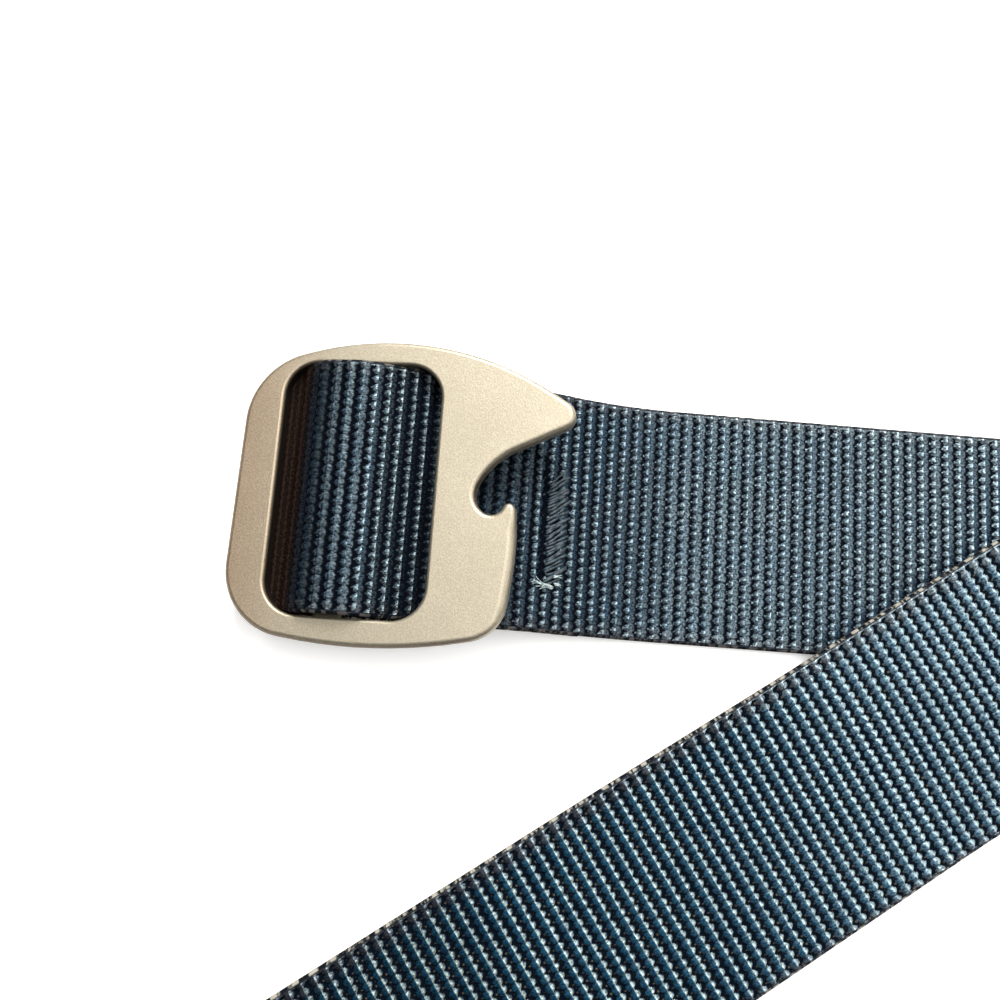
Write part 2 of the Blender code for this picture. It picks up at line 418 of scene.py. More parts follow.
# The buckle: lengths in mm in its own plane, u to the right, v up the picture
buckle = {
    "thickness": 3.0,
    "tilt": math.radians(9.3),
    "place": (0.55, 0.25, 10.5),  # of the slot's middle, on the plate's face
    "cadRound": 0.75,
    "topRound": 0.75,
    "lipRound": 0.6,
    "lipEase": (1.5, 4.0),  # distance from the lip, and over which length its round ends
    "rightRound": 0.5,  # more on the right lower edge
    "rightFacing": (0.75, 0.2),  # where the outline's normal has more than this u, and its ease
    "rightBelow": (-2.5, 3.0),  # and where v is below this, and its ease
    "bottomRound": 0.75,
    "slotRound": 0.5,
    "roundSteps": 7,
    "outerStep": 0.32,
    "slotStep": 0.4,
    "slotWidth": 24.75,
    "slotHeight": 39.2,
    "slotRadius": 5.3,
    "barLeft": -4.6,
    "barRight": 0.3,
    "barRecess": 0.3,
    "barRadius": 1.1,
    "barRoot": 1.2,
}
# u, v, radius: left bottom, foot, right bottom, bar edge, lip, notch, throat, beak, crown, left top
plateCorners = (
    (-18.83, -21.64, 10.48),
    (4.75, -24.84, 78.31),
    (23.87, -20.77, 6.5),
    (25.23, -8.35, 38.72),
    (24.75, -1.84, 1.07),
    (23.58, -0.49, 0.87),
    (21.74, -4.08, 1.94),
    (17.76, -0.87, 3.3),
    (20.57, 5.24, 11.45),
    (35.23, 12.42, 2.23),
    (10.77, 27.46, 47.06),
    (-18.15, 18.44, 11.64),
)
lipCorner = 5


# The layout stands where the frame's webbing and buckle do
def layoutShift():
    # from the right and upper ends of the buckle's box
    outer = roundedPath(plateCorners, True, math.radians(9))
    cos, sin = math.cos(buckle["tilt"]), math.sin(buckle["tilt"])
    side = (buckle["thickness"] - buckle["cadRound"]) * sin
    right = outer[:, 0].max() * cos + side + buckle["place"][0]
    upper = outer[:, 1].max() + buckle["place"][1]
    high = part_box("buckle")[1]
    return np.array([high[0] / mm - right, high[1] / mm - upper, 0])


shift = layoutShift()
print("layout shift in mm", shift.round(3))

# the plate's finish: colours and their painted shade, lengths in mm in the plate's own plane
metal = {
    "tone": ((0.355, 0.318, 0.242), (0.38, 0.34, 0.262)),
    "speck": ((0.80, 0.79, 0.78), (1.0, 1.0, 1.0)),
    "grainScale": 3800,
    "patchScale": 90,
    "metallic": 0.85,
    "roughness": (0.42, 0.12),  # least, and what the grain adds
    "bump": (0.4, 0.00006),
    "leftShade": ((0.86, 0.74, 0.67), (1.0, 1.0, 1.0)),  # painted shade, darker toward the left rail
    "leftShadeSpan": (-20.0, -3.0),
    "wall": (0.012, 0.008, 0.006),  # painted shade on the slot's walls
    "wallShare": 0.9,
    "wallDepth": (0.4, 1.0),
    "wallMargin": 0.2,
    "rimShade": (0.085, 0.052, 0.032),  # painted shade: a thin dark line round the outer edge, faint on the right
    "rimShare": 0.85,
    "rimDepth": (0.10, 0.36),
    "rimEnd": (1.7, 2.3),
    "rimFade": (18.0, 22.0),
    "rimLost": 0.75,
}


def buckleMetal():
    paint = Paint("bronze anodised metal")
    place = paint.place()
    grain = paint.noise(place, metal["grainScale"], 2, 0.6)
    patch = paint.noise(place, metal["patchScale"], 3, 0.55)
    tone = paint.mix(patch.between(0.3, 0.7), *metal["tone"])
    speck = paint.mix(grain.between(0.35, 0.7), *metal["speck"])
    colour = paint.times(tone, speck)
    # u and v in the plate's own plane, and the depth below its face
    middle = (shift + np.array(buckle["place"])) * mm
    x, v, z = ((a - float(b)) * (1 / mm) for a, b in zip(paint.split(place), middle))
    cos, sin = math.cos(buckle["tilt"]), math.sin(buckle["tilt"])
    u = x * cos + z * sin
    depth = x * sin - z * cos
    # painted shade: the plate darker toward its left rail
    leftShade = paint.mix(u.between(*metal["leftShadeSpan"]), *metal["leftShade"])
    colour = paint.times(colour, leftShade)
    halfWidth, halfHeight = (buckle[key] / 2 + metal["wallMargin"] for key in ("slotWidth", "slotHeight"))
    inSlot = (u.absolute() < halfWidth) * (v.absolute() < halfHeight)
    # painted shade: the slot's walls dark below the face
    wall = inSlot * depth.between(*metal["wallDepth"])
    colour = paint.mix(wall * metal["wallShare"], colour, metal["wall"])
    # painted shade: a thin dark line on the outer edge's rounding, fainter toward the right
    rimShade = depth.between(*metal["rimDepth"]) * (1.0 - depth.between(*metal["rimEnd"])) * (1.0 - inSlot)
    rimShade = rimShade * (1.0 - u.between(*metal["rimFade"]) * metal["rimLost"])
    colour = paint.mix(rimShade * metal["rimShare"], colour, metal["rimShade"])
    least, more = metal["roughness"]
    return paint.finish(Base_Color=colour, Metallic=metal["metallic"], Roughness=least + grain * more,
                        Normal=paint.bump(grain, *metal["bump"]))


def outward(loop):
    along = np.roll(loop, -1, axis=0) - np.roll(loop, 1, axis=0)
    normals = np.stack([along[:, 1], -along[:, 0]], axis=1)
    return normals / np.linalg.norm(normals, axis=1)[:, None]


def resampled(loop, step):
    # points at an even spacing along a closed loop
    ring = np.vstack([loop, loop[:1]])
    lengths = np.concatenate([[0], np.cumsum(np.linalg.norm(np.diff(ring, axis=0), axis=1))])
    marks = np.linspace(0, lengths[-1], round(lengths[-1] / step), endpoint=False)
    return np.stack([np.interp(marks, lengths, ring[:, axis]) for axis in (0, 1)], axis=1)


def wallRings(loop, inward, top):
    # each outline point carries a profile of two quarter rounds through the plate:
    # point + inward * round * (1 - sin a), and depth round * (1 - cos a) from either face
    quarter = np.radians(np.linspace(0, 90, buckle["roundSteps"]))[:, None]
    low = np.minimum(top, buckle["bottomRound"])
    inset = np.vstack([top * (1 - np.sin(quarter)), (low * (1 - np.sin(quarter)))[::-1]])
    drop = np.vstack([-top * (1 - np.cos(quarter)),
                      (low * (1 - np.cos(quarter)))[::-1] - buckle["thickness"]])
    return np.concatenate([loop + inward * inset[..., None], drop[..., None]], axis=-1)


def plateWalls():
    outer = resampled(roundedPath(plateCorners, True, math.radians(2)), buckle["outerStep"])
    lip = np.array(plateCorners[lipCorner][:2])
    near, ease = buckle["lipEase"]
    away = smooth((np.linalg.norm(outer - lip, axis=1) - near) / ease)
    top = buckle["lipRound"] + (buckle["topRound"] - buckle["lipRound"]) * away
    facing, ease = buckle["rightFacing"]
    rightward = smooth((outward(outer)[:, 0] - facing) / ease)
    below, ease = buckle["rightBelow"]
    top = top + buckle["rightRound"] * rightward * smooth((below - outer[:, 1]) / ease)
    side, height = buckle["slotWidth"] / 2, buckle["slotHeight"] / 2
    signs = ((-1, -1), (1, -1), (1, 1), (-1, 1))
    corners = [(a * side, b * height, buckle["slotRadius"]) for a, b in signs]
    slot = resampled(roundedPath(corners, True, math.radians(3)), buckle["slotStep"])
    return (wallRings(outer, -outward(outer), top),
            wallRings(slot, outward(slot), np.full(len(slot), buckle["slotRound"])))


def buildBuckle():
    outer, slot = plateWalls()
    points = np.concatenate([outer.reshape(-1, 3), slot.reshape(-1, 3)])
    start = len(points) - slot[..., 0].size
    faces = np.concatenate([tube(*outer.shape[:2]), tube(*slot.shape[:2]) + start])
    mesh = newMesh("buckle_plate", points, faces)
    work = bmesh.new()
    work.from_mesh(mesh)
    # the two flat faces fill what is open between the outline and the slot
    for height in (0.0, -buckle["thickness"]):
        edges = [edge for edge in work.edges if edge.is_boundary and edge.verts[0].co.z == height]
        filled = bmesh.ops.triangle_fill(work, edges=edges, use_beauty=True)
        for face in (made for made in filled["geom"] if isinstance(made, bmesh.types.BMFace)):
            face.smooth = False
    bmesh.ops.recalc_face_normals(work, faces=work.faces)
    work.to_mesh(mesh)
    work.free()
    mesh.materials.append(buckleMetal())
    made = newPiece("buckle_plate", mesh)
    addCentreBar(made)
    # tilted about v, from millimetres in its own plane to its place
    place = Matrix.Translation((shift + np.array(buckle["place"])) * mm)
    tilt = Euler((0, -buckle["tilt"], 0)).to_matrix().to_4x4()
    made.data.transform(place @ tilt @ Matrix.Scale(mm, 4))
    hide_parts("buckle")
    print("buckle made,", len(made.data.polygons), "faces")


def addCentreBar(plate):
    # a rounded beam along v, its section a rounded rectangle, joined to the plate's rails
    low, high = buckle["barRecess"] - buckle["thickness"], -buckle["barRecess"]
    left, right, radius = buckle["barLeft"], buckle["barRight"], buckle["barRadius"]
    corners = [(left, low, radius), (right, low, radius), (right, high, radius), (left, high, radius)]
    u, w = roundedPath(corners, True, math.radians(10)).T
    reach = buckle["slotHeight"] / 2 + buckle["barRoot"]
    rings = np.array([(u, v + 0 * u, w) for v in (-reach, reach)]).swapaxes(1, 2)
    mesh = newMesh("bar", rings, capped(*rings.shape[:2]))
    outwardFaces(mesh)
    bar = newObject("bar", mesh)
    join = plate.modifiers.new("bar", "BOOLEAN")
    join.operation = "UNION"
    join.object = bar
    joined = plate.evaluated_get(bpy.context.evaluated_depsgraph_get())
    plate.data = bpy.data.meshes.new_from_object(joined)
    plate.modifiers.clear()
    bpy.data.objects.remove(bar)


buildBuckle()


# The ribbed weave: each warp float rises as a tooth to its rib's straight crest and sinks
# again behind it, and the next rib's floats lie half a nub aside
weave = {
    "ribPitch": 2.07,
    "nubs": 27,
    "selvedge": 0.65,  # width of the bound edge
    "depth": 0.62,  # from crest to pit
    "columns": (0.0, 0.15, 0.3, 0.44, 0.5, 0.56, 0.7, 0.85),  # in each rib
    "edgeRows": 5,
    "jitter": 0.035,
    "uneven": 0.05,
    "binding": (0.55, 0.45, 0.1),  # least height, swell over each rib, unevenness
    "bindingFoot": 0.6,  # how much of it is left at the very edge
}
# the floats of the upper and of the lower face: lengths in ribs, half width in nubs
upperFloats = {
    "tooth": 0.43,
    "wide": 0.49,
    "pointed": 1.8,
    "toothFall": 0.5,
    "toothRound": 0.12,
    "back": 0.57,
    "scallop": 0.15,
    "backFall": 0.9,
    "bend": 1.0,
    "backRound": 0.35,
}
lowerFloats = {
    "tooth": 0.33,
    "wide": 0.42,
    "pointed": 1.3,
    "toothFall": 0.45,
    "toothRound": 0.2,
    "back": 0.54,
    "scallop": 0.30,
    "backFall": 0.85,
    "bend": 1.5,
    "backRound": 0.5,
}
# the bar tack behind the buckle, on the upper layer
tack = {
    "left": 30.35,  # x of the threads' left ends
    "height": 6.3,  # of the strap's middle there
    "width": 3.0,
    "low": -11.9,  # y of the first stitch and of the last
    "high": 4.6,
    "stitches": 33,
    "rise": 2.1,  # of each stitch, from left to right
    "thread": 0.21,
    "base": 0.55,  # height over the strap's middle
    "arch": 0.32,
    "steps": 17,
    "seed": 4,
    "wobble": {"rise": 0.7, "low": 0.22, "left": 0.2, "width": 0.4, "dip": 0.12, "lift": 0.12,
               "thread": 0.15},
    "furrow": 0.6,
    "furrowPress": 0.97,
    "furrowPast": 5.5,  # how far it goes on above the last stitch
    "wavers": ((0.2, 2.1), (0.16, 7.3)),  # of the furrow: how far, and turns in radians per mm
    "threadPress": 0.55,
    "threadPast": 2.0,
    "colours": ((0.002, 0.006, 0.010), (0.013, 0.033, 0.048)),
}


def ruffle(a, b, seed):
    # a repeatable number from -1 to 1 for each pair of whole numbers
    value = np.sin(a * 127.1 + b * 311.7 + seed * 74.7) * 43758.5453
    return 2 * (value - np.floor(value)) - 1


def floatHeight(ribs, nubs, floats, seed):
    # before the crest a tooth, (1 - fall * x) * (1 - round * q^3) * (1 - q^10), with x from the
    # crest to the tip, q = y / half and half = wide * (1 - x^pointed); behind it the float's
    # back, (1 - fall * x^bend) * (1 - round * q^4), that ends sooner at its sides
    height = np.zeros_like(ribs)
    for step in (-1, 0, 1):
        rib = np.floor(ribs) + step
        past = ribs - rib - 0.5
        beside = nubs - 0.5 * (rib % 2)
        nub = np.floor(beside + 0.5)
        y = np.abs(beside - nub - weave["jitter"] * ruffle(rib, nub, seed))
        x = np.clip(-past / floats["tooth"], 0, 1)
        q = np.clip(y / (floats["wide"] * (1 - x ** floats["pointed"]) + 1e-6), 0, 1)
        tooth = (1 - floats["toothFall"] * x) * (1 - floats["toothRound"] * q**3) * (1 - q**10)
        q = np.clip(2 * y, 0, 1)
        x = past / (floats["back"] * (1 - floats["scallop"] * q**2))
        inBack = (past >= 0) & (x < 1)
        x = np.clip(x, 0, 1)
        back = (1 - floats["backFall"] * x ** floats["bend"]) * (1 - floats["backRound"] * q**4)
        inTooth = (past < 0) & (past > -floats["tooth"])
        lift = np.where(inTooth, tooth, np.where(inBack, back, 0))
        height = np.maximum(height, lift * (1 + weave["uneven"] * ruffle(rib, nub, seed + 5)))
    return height


def pressed(along, across):
    # the bar tack presses the ribs flat: fully in the furrow at its left and partly under its
    # threads, each a product of smooth steps, and the furrow wavers from side to side
    layer = along - path.side.nearest(tack["left"], tack["height"])
    started = smooth((across - tack["low"] + 0.5) / 0.8)
    waver = sum(far * np.sin(turn * across) for far, turn in tack["wavers"])
    furrow = smooth((layer - waver + tack["furrow"]) / 0.3) * smooth((0.25 + waver - layer) / 0.35)
    furrow = furrow * smooth((tack["high"] + tack["furrowPast"] - across) / 3.0)
    under = smooth(layer / 0.4) * smooth((tack["width"] - layer) / 0.4)
    under = under * smooth((tack["high"] + tack["threadPast"] - across) / 2.0)
    return started * np.maximum(tack["furrowPress"] * furrow, tack["threadPress"] * under)


def acrossRows(rowsPerNub):
    # shares of the width: bunched at the rounded edges, even over the nubs
    edge = weave["selvedge"] / strap["width"]
    turn = np.radians(np.linspace(0, 90, weave["edgeRows"] + 1))[:-1]
    side = edge * (1 - np.cos(turn))
    inner = np.linspace(edge, 1 - edge, weave["nubs"] * rowsPerNub + 1)
    return np.concatenate([side, inner, 1 - side[::-1]])


def clothFace(along, shares, sign, floats, seed):
    # middle surface plus the normal times half the thickness, rounded at the long edges,
    # less the weave's depth where no float lies
    low, high = path.edges(along)
    across = low + (high - low) * shares
    middle, normal = path.surface(along, across)
    edge = weave["selvedge"] / strap["width"]
    inset = np.clip(np.minimum(shares, 1 - shares) / edge, 0, 1) + 0 * along
    ribs = along / weave["ribPitch"] + 0 * shares
    nubs = (shares - edge) / (1 - 2 * edge) * weave["nubs"] + 0 * along
    nubs = nubs + (0.5 if sign < 0 else 0)
    least, swell, uneven = weave["binding"]
    binding = least + swell * np.sin(np.pi * ribs) ** 2
    binding = binding + uneven * ruffle(np.floor(ribs * 4), np.floor(inset * 3), 3)
    foot = weave["bindingFoot"]
    binding = binding * (foot + (1 - foot) * inset)
    lift = np.where(inset < 1, binding, floatHeight(ribs, nubs, floats, seed))
    sunk = openWeave["sunk"] * path.side.within(along, openWeave) * (sign > 0)
    lift = np.clip((lift - sunk) / (1 - sunk), 0, 1)
    flank = shadedFlank["smoothed"] * path.side.within(along, shadedFlank)
    lift = lift + (shadedFlank["level"] - lift) * flank
    lift = lift * (1 - pressed(along, across))
    dome = np.sqrt(1 - (1 - inset) ** 2)
    height = (strap["thickness"] / 2 - weave["depth"] * (1 - lift)) * dome
    points = middle + sign * normal * height[..., None]
    return points, np.stack([ribs, nubs], axis=-1), lift, inset, np.full_like(lift, sign)


# painted sheen and shade: how much of the glossy yarn shows over its dull, darker copy, set by place: x, z
# and share round the loop and along the near strap, then the distance down the far strap and share
nearSheen = (
    (-13.0, 0.9, 0.03),
    (-9.6, 5.0, 0.03),
    (-4.2, 10.5, 0.08),
    (-1.7, 12.2, 0.185),
    (0.6, 12.4, 0.50),
    (2.8, 12.0, 0.45),
    (4.9, 11.2, 0.49),
    (7.1, 10.3, 0.365),
    (9.3, 9.5, 0.08),
    (11.5, 8.7, 0.017),
    (29.0, 6.5, 0.21),
    (35.0, 3.5, 0.19),
    (41.8, 1.3, 0.295),
    (49.8, 0.9, 0.45),
    (58.0, 0.9, 0.61),
    (70.0, 0.9, 0.64),
    (80.8, 0.9, 0.56),
)
farSheen = (
    (-29.0, 0.145),
    (-18.6, 0.17),
    (-6.0, 0.31),
    (6.5, 0.345),
    (20.8, 0.56),
    (34.7, 0.92),
    (47.9, 1.42),
)


def sheenShare(along, rings):
    # straight between the stops, by length up to the fold and past it by distance down the strap
    near = np.interp(along, [path.side.nearest(x, z) for x, z, _ in nearSheen],
                     [share for *_, share in nearSheen])
    turn = strap["returnAngle"]
    down = rings[..., 0] * math.cos(turn) + rings[..., 1] * math.sin(turn)
    far = np.interp(down, *zip(*farSheen))
    return np.where(along < strap["crossing"] - path.flatShift, near, far)


def webbingPiece(name, firstRib, lastRib, topRows, bottomRows, material):
    # a closed strip: rings of the upper face's rows and then the lower face's rows
    ribs = np.arange(firstRib, math.ceil(lastRib))[:, None] + np.array(weave["columns"])
    ribs = np.append(ribs[ribs < lastRib - 0.02], lastRib)
    along = ribs[:, None] * weave["ribPitch"]
    top, bottom = acrossRows(topRows)[None], acrossRows(bottomRows)[None, ::-1][:, 1:-1]
    upper = clothFace(along, top, 1, upperFloats, 1)
    lower = clothFace(along, bottom, -1, lowerFloats, 2)
    rings, grid, lift, edge, side = (np.concatenate(pair, axis=1) for pair in zip(upper, lower))
    mesh = newMesh(name, (rings + shift) * mm, capped(*lift.shape))
    mesh.materials.append(material)
    for cap in mesh.polygons[-2:]:
        cap.use_smooth = False
    # the flank, sheen and rail labels carry painted shade, sheen and shadow into the material
    labels = {
        "lift": lift,
        "edge": edge,
        "side": side,
        "flank": path.side.within(along, shadedFlank) + 0 * lift,
        "sheen": sheenShare(along, rings),
        "rail": path.side.within(along, railShadow) + 0 * lift,
    }
    for label, values in labels.items():
        held = mesh.attributes.new(label, "FLOAT", "POINT")
        held.data.foreach_set("value", values.ravel().astype(np.float32))
    corners = np.zeros(len(mesh.loops), int)
    mesh.loops.foreach_get("vertex_index", corners)
    layer = mesh.uv_layers.new(name="weave")
    layer.data.foreach_set("uv", grid.reshape(-1, 2)[corners].ravel().astype(np.float32))
    outwardFaces(mesh)
    made = newPiece(name, mesh)
    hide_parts("webbing")
    print(name, "made,", len(mesh.polygons) * 2, "triangles")
    return made, float(along[-1, 0] - along[0, 0]) * mm


# the cloth's colours, those of its painted highlight and shade, and the sizes of its pattern
yarnLook = {
    "upper": ((0.006, 0.026, 0.054), (0.012, 0.027, 0.048)),
    "lower": (0.006, 0.060, 0.120),
    # painted highlight: the lower face's teeth pale
    "lowerToothHighlight": (0.17, 0.20, 0.17),
    "byEdge": (0.040, 0.046, 0.060),
    "nubTint": ((0.80, 0.82, 0.86), (1.22, 1.18, 1.14)),
    "grainTint": ((0.45, 0.48, 0.52), (1.45, 1.42, 1.38)),
    "sheen": (0.72, 0.92, 1.0, 1.0),
    # painted shade: the dull yarn darkened where little sheen is painted
    "dullShade": ((0.12, 0.12, 0.12), (0.6, 0.6, 0.6)),
    # painted shade in the pits between the floats
    "upperPit": (0.0012, 0.002, 0.004),
    "lowerPit": (0.0012, 0.0028, 0.006),
    "strand": (0.085, 0.066, 0.046),
    "binding": (0.004, 0.006, 0.008),
    "upperTufts": (0.09, 0.085, 0.08),
    "lowerTufts": (0.28, 0.26, 0.22),
    # painted shade on the loop's left flank: the two browns of its streaks
    "flank": ((0.024, 0.0125, 0.0085), (0.0042, 0.0026, 0.002)),
    "black": (0.0, 0.0, 0.0),
    "strandScale": (0.9, 15.0),  # of the noises, along the ribs' count and across the nubs'
    "mottleScale": (5.0, 4.0),
    "driftScale": (0.11, 0.16),
    "tuftScale": 1.3,
    "tooth": (0.2, 0.38),  # in shares of a rib: where a tooth starts, and where it ends
    "toothEnd": (0.47, 0.53),
    "railGlint": 0.12,
    "IOR": 2.5,
    "roughness": (0.30, 0.12),  # least, and what the mottle adds
    "bump": (1.0, 0.00009),
}


def webbingCloth():
    paint = Paint("slate blue webbing")
    look = yarnLook
    ribs, nubs, _ = paint.split(paint.node("ShaderNodeUVMap", {"uv_map": "weave"}))
    lift, edge, side, flank, sheen, rail = (
        paint.attribute(name) for name in ("lift", "edge", "side", "flank", "sheen", "rail"))
    lower = side < 0.0
    rib = ribs.floor()
    pastRib = ribs.fraction()
    fromCrest = (pastRib - 0.5).absolute()
    beside = nubs - 0.5 * (rib % 2.0)
    chance = paint.node("ShaderNodeTexWhiteNoise", {"noise_dimensions": "2D"},
                        {"Vector": paint.vector(rib, (beside + 0.5).floor())})
    spots = (paint.vector(ribs * look[key][0], nubs * look[key][1])
             for key in ("strandScale", "mottleScale", "driftScale"))
    strands = paint.noise(next(spots), 1.0, 1, 0.5)
    mottle = paint.noise(next(spots), 1.0, 3, 0.65)
    drift = paint.noise(next(spots), 1.0, 2, 0.5)
    blotch = mottle.between(0.35, 0.65)
    # the yarn: slate above, bluer below with its teeth painted pale as a highlight, greyer by the long
    # edges
    onTooth = pastRib.between(*look["tooth"]) * (1.0 - pastRib.between(*look["toothEnd"]))
    upperYarn = paint.mix(drift.between(0.3, 0.7), *look["upper"])
    lowerYarn = paint.mix(onTooth, look["lower"], look["lowerToothHighlight"])
    yarn = paint.mix(lower, upperYarn, lowerYarn)
    middle = weave["nubs"] / 2
    inward = middle - (nubs - middle).absolute()
    yarn = paint.mix(inward.between(0.2, 1.6), look["byEdge"], yarn)
    yarn = paint.times(yarn, paint.mix(chance, *look["nubTint"]))
    grain = (strands + mottle).between(0.7, 1.3)
    yarn = paint.times(yarn, paint.mix(grain, *look["grainTint"]))
    least, more = look["roughness"]
    paint.finish(Base_Color=yarn, Roughness=least + mottle * more, Specular_IOR_Level=1.0,
                 IOR=look["IOR"], Specular_Tint=look["sheen"],
                 Normal=paint.bump(strands + mottle * 0.35, *look["bump"]))
    # between the floats, painted shade: black, with a tan strand showing here and there on the under face
    across = (beside.fraction() - 0.5).absolute()
    spot = ((ribs + 0.44).fraction() - 0.5) ** 2.0 * 4.0 + across ** 2.0 * 2.0
    strand = (1.0 - (spot + mottle * 0.14).between(0.07, 0.12)) * chance.between(0.3, 0.9) * lower
    pitShade = paint.mix(strand, paint.mix(lower, look["upperPit"], look["lowerPit"]), look["strand"])
    # painted shade: where little sheen is painted the dull yarn is darker and beside the right rail black,
    # and the bound edge has worn tufts
    dullShade = paint.mix(sheen.between(0.02, 0.3), *look["dullShade"])
    dullShade = paint.times(yarn, paint.mix(rail * 0.95, dullShade, look["black"]))
    matte = paint.mix(lift.between(0.3, 0.65), pitShade, dullShade)
    tufts = paint.noise(paint.vector(ribs * look["tuftScale"], side * 3.0), 1.0, 2, 0.6)
    tuftColour = paint.mix(lower, look["upperTufts"], look["lowerTufts"])
    worn = paint.mix((tufts + mottle * 0.3).between(0.62, 0.72), look["binding"], tuftColour)
    matte = paint.mix(edge.between(0.4, 0.8), worn, matte)
    # painted shade on the loop's left flank: dark brown streaks along the crests
    streak = fromCrest.between(0.05, 0.3) + 0.7 - 1.4 * blotch
    matte = paint.mix(flank, matte, paint.mix(streak, *look["flank"]))
    # the dull, darker copy of the cloth that shows where the painted sheen is low
    under = paint.node("ShaderNodeBsdfPrincipled", None, {
        "Base Color": matte, "Roughness": 0.9, "Specular IOR Level": 0.02})
    # painted sheen: a tooth gets more than its float's back and a crest of the upper face the least; the
    # shaded left flank gets none, and beside the right rail the teeth get a painted glint
    crest = (0.1 - fromCrest).between(0.02, 0.08) * (side + 1.0) * 0.32
    teeth = onTooth * (0.95 + 0.75 * lower) + 0.6 - 0.15 * lower
    sheen = (sheen * teeth * (1.0 - crest) + rail * onTooth * look["railGlint"]) * (1.0 - flank)
    # the glossy yarn shows by the painted sheen share, on the floats only, and its dull copy elsewhere
    shown = lift.between(0.12, 0.4) * edge.between(0.85, 0.99) * sheen
    return paint.cover(shown * (0.1 + 2.0 * blotch), under)


def tubes(paths, radii, around):
    # a round thread along each path: centre + r * (cos a * side + sin a * up), both square to it
    ahead = np.gradient(paths, axis=1)
    ahead /= np.linalg.norm(ahead, axis=-1)[..., None]
    side = np.cross(ahead, np.array([0.0, 0.0, 1.0]))
    side /= np.linalg.norm(side, axis=-1)[..., None]
    up = np.cross(side, ahead)
    turn = (np.arange(around) * 2 * math.pi / around)[:, None]
    ring = np.cos(turn) * side[..., None, :] + np.sin(turn) * up[..., None, :]
    points = paths[..., None, :] + radii[..., None, None] * ring
    count, steps = radii.shape
    starts = range(0, count * steps * around, steps * around)
    one = [np.array(face) for face in capped(steps, around)]
    return points, [face + start for start in starts for face in one]


def onUpperLayer(x, y, lift):
    # a point over the layout's (x, y) behind the loop: the strap's middle plus the normal * lift
    points, lengths = path.side.points, path.side.lengths
    upper = lengths > path.side.nearest(0.8, 12.45)
    along = np.interp(x, points[upper, 0], lengths[upper])
    middle, normal = path.surface(along, y)
    return middle + normal * lift[..., None]


def stitchPaths():
    # each stitch rises from left to right and dips in its middle, where the needle went:
    # height = base + arch * |sin(2 pi s)|^0.6, and its two ends dive into the cloth
    share = np.linspace(0, 1, tack["steps"])[None]
    number = np.arange(tack["stitches"])[:, None]
    wobbles = enumerate(tack["wobble"].items(), 1)
    off = {key: by * ruffle(number, draw, tack["seed"]) for draw, (key, by) in wobbles}
    low = tack["low"] + (tack["high"] - tack["low"]) * number / tack["stitches"]
    y = low + (tack["rise"] + off["rise"]) * share + off["low"]
    x = tack["left"] + off["left"] + (tack["width"] + off["width"]) * share
    swell = np.sin(math.pi * share)
    dip = np.abs(np.sin(2 * math.pi * (share + off["dip"] * swell)))
    lift = tack["base"] + tack["arch"] * dip**0.6 + off["lift"] * swell
    radii = tack["thread"] * (0.9 + 0.2 * dip) * (1 + off["thread"])
    return onUpperLayer(x, y, lift), radii


# the tack's frayed end: each pair is for the tuft's fibres and for the short bits at its right
looseEnd = {
    "fibres": 16,
    "inTuft": 10,
    "turn": (171, 14),
    "spread": (9, 24),
    "reach": (2.5, 1.1),
    "x": (31.5, 31.9),
    "y": (-12.15, -10.5),
    "thread": 0.085,
    "base": 1.0,  # height over the strap's middle
    "arch": 0.25,
    "steps": 13,
    "seed": 9,
    "colours": ((0.15, 0.20, 0.21), (0.42, 0.50, 0.49)),
}


def looseEndPaths():
    # start + reach * s * (cos a, sin a) with a = turn + curl * s^2, thinner to the tip
    share = np.linspace(0, 1, looseEnd["steps"])[None]
    number = np.arange(looseEnd["fibres"])[:, None]
    tuft = number < looseEnd["inTuft"]
    tuftFan, bitFan, long, curl, asideX, asideY, high = (
        ruffle(number, draw, looseEnd["seed"]) for draw in range(1, 8))
    fan = np.where(tuft, *looseEnd["spread"]) * np.where(tuft, tuftFan, bitFan)
    turn = np.radians(np.where(tuft, *looseEnd["turn"]) + fan)
    reach = np.where(tuft, *looseEnd["reach"]) * (1 + 0.25 * long)
    angle = turn + 0.3 * curl * share**2
    x = np.where(tuft, *looseEnd["x"]) + 0.25 * asideX + reach * share * np.cos(angle)
    tuftY, bitY = looseEnd["y"]
    y = np.where(tuft, tuftY, bitY - number % 2) + 0.2 * asideY
    y = y + reach * share * np.sin(angle)
    lift = looseEnd["base"] + looseEnd["arch"] * np.sin(math.pi * share) * (1 + 0.5 * high)
    radii = looseEnd["thread"] * (1.15 - 0.7 * share) + 0 * number
    return onUpperLayer(x, y, lift), radii


# the finish of both
thread = {"twistScale": 2600, "roughness": 0.55, "specular": 0.6, "bump": (0.8, 0.0001), "around": 8}


def threadLook(name, colours):
    paint = Paint(name)
    twist = paint.noise(paint.place(), thread["twistScale"], 2, 0.6)
    colour = paint.mix(twist.between(0.35, 0.65), *colours)
    return paint.finish(Base_Color=colour, Roughness=thread["roughness"],
                        Specular_IOR_Level=thread["specular"],
                        Normal=paint.bump(twist, *thread["bump"]))


def buildTack():
    for name, (paths, radii), look in (("tack_thread", stitchPaths(), tack),
                                       ("tack_loose_end", looseEndPaths(), looseEnd)):
        points, faces = tubes(paths, radii, thread["around"])
        mesh = newMesh(name, (points + shift) * mm, faces)
        mesh.materials.append(threadLook(name.replace("_", " "), look["colours"]))
        outwardFaces(mesh)
        newPiece(name, mesh)
        print(name, "made,", len(mesh.polygons) * 2, "triangles")


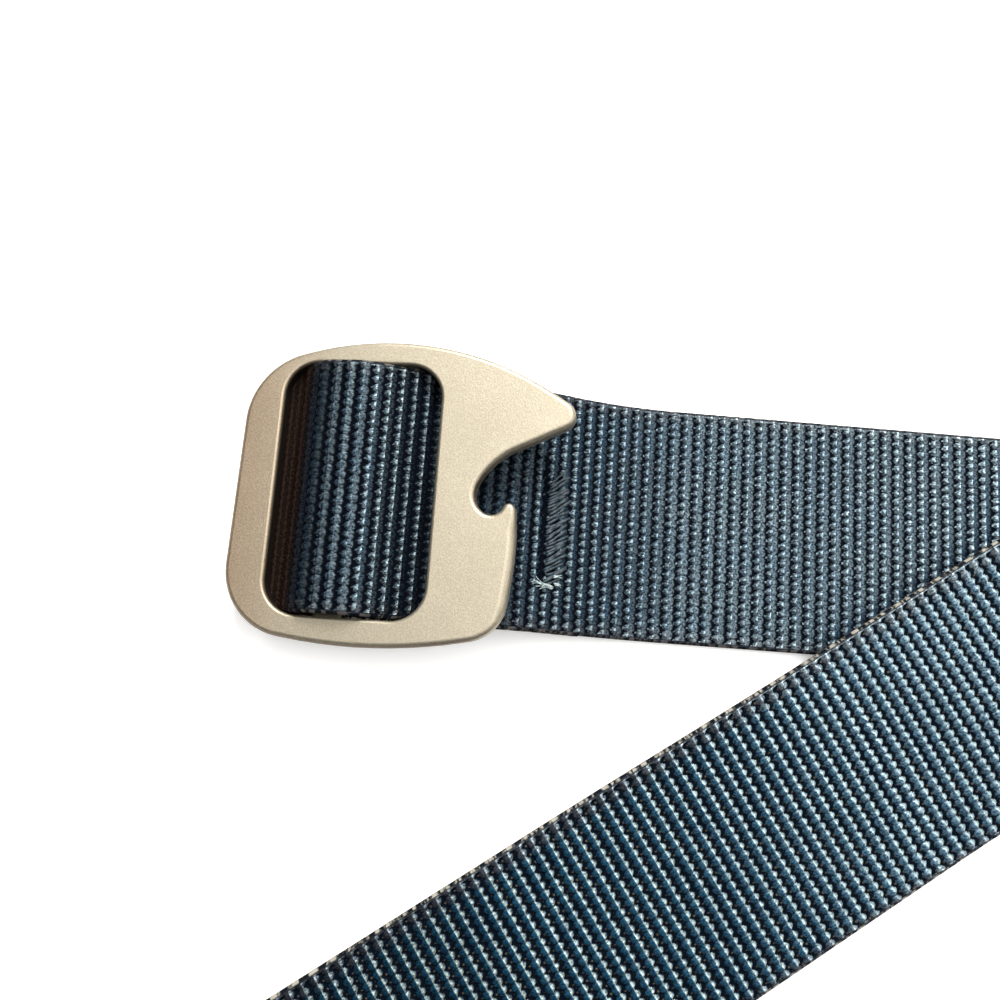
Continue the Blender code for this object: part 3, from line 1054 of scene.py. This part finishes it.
# name, first rib, last rib, rows per nub on the upper and on the lower face, held
webbingPieces = (
    ("webbing_loop", 0, 46, 6, 3, "folded"),
    ("webbing_run", 46, 90, 6, 3, "laid"),
    ("webbing_fold", 90, 116, 5, 5, "folded"),
    ("webbing_tail", 116, 153, 3, 6, "laid"),
    ("webbing_end", 153, path.length / weave["ribPitch"], 3, 6, "laid"),
)
cloth = webbingCloth()
for name, first, last, topRows, bottomRows, held in webbingPieces:
    piece, length = webbingPiece(name, first, last, topRows, bottomRows, cloth)

buildTack()

# Camera: the photograph's own, lengths in mm from the slot's middle, turns in radians
view = {
    "place": (18.24, -27.6, 159.25),
    "turn": (0.1814, -0.0442, 0.0727),
    "lens": 36.0,
    "sensor": 36.0,
    "clip": 0.01,
}


def addCamera():
    data = bpy.data.cameras.new("camera")
    data.lens = view["lens"]
    data.sensor_width = view["sensor"]
    data.clip_start = view["clip"]
    made = newObject("camera", data)
    turnX, turnY, turnZ = (Matrix.Rotation(a, 4, axis) for a, axis in zip(view["turn"], "XYZ"))
    place = Matrix.Translation((np.array(view["place"]) + shift) * mm)
    made.matrix_world = place @ turnZ @ turnY @ turnX
    bpy.context.scene.camera = made


# Studio: lengths in metres
studio = {
    "floorReach": 6.0,
    "floorDrop": 0.0002,
    "floorTone": ((0.90, 0.90, 0.90), (0.93, 0.93, 0.93)),
    "hazeScale": 6,
    "floorGlow": 0.3,
    "world": (0.95, 0.97, 1.0, 1.0),
    "worldStrength": 0.04,
}
# name, azimuth from +X, height above the horizon, distance, size, watts, colour
lights = (
    ("key", 82, 42, 0.9, 0.35, 14.0, (1.0, 0.99, 0.97)),
    ("top", 60, 78, 1.0, 1.20, 15.0, (1.0, 0.99, 0.97)),
    ("right", 0, 26, 0.8, 0.4, 2.5, (1.0, 0.98, 0.95)),
)


def addFloor():
    # a wide pale sheet just under the belt
    paint = Paint("pale floor")
    haze = paint.noise(paint.place(), studio["hazeScale"])
    colour = paint.mix(haze, *studio["floorTone"])
    material = paint.finish(Base_Color=colour, Roughness=0.9, Emission_Strength=studio["floorGlow"])
    signs = np.array([(-1, -1), (1, -1), (1, 1), (-1, 1)])
    drop = np.full((4, 1), -studio["floorDrop"])
    mesh = newMesh("floor", np.hstack([signs * studio["floorReach"], drop]), [(0, 1, 2, 3)])
    mesh.materials.append(material)
    newObject("floor", mesh)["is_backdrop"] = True


def addLights():
    middle = Vector((shift * mm).tolist())
    for name, azimuth, height, distance, size, watts, colour in lights:
        data = bpy.data.lights.new(name, "AREA")
        data.size = size
        data.energy = watts
        data.color = colour
        turn, rise = math.radians(azimuth), math.radians(height)
        away = Vector((math.cos(turn) * math.cos(rise), math.sin(turn) * math.cos(rise), math.sin(rise)))
        made = newObject(name, data)
        made.location = middle + away * distance
        made.rotation_euler = away.to_track_quat("Z", "Y").to_euler()
    world = bpy.data.worlds.new("studio")
    world.use_nodes = True
    ground = world.node_tree.nodes["Background"]
    ground.inputs["Color"].default_value = studio["world"]
    ground.inputs["Strength"].default_value = studio["worldStrength"]
    scene = bpy.context.scene
    scene.world = world
    scene.view_settings.view_transform = "Standard"


addCamera()
addFloor()
addLights()
print("camera, floor and lights placed")

sizes = {"cad": [list(corner) for corner in cadBox], "visual": [list(corner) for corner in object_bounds()]}
print("visual box in mm", [round((b - a) / mm, 1) for a, b in zip(*sizes["visual"])])
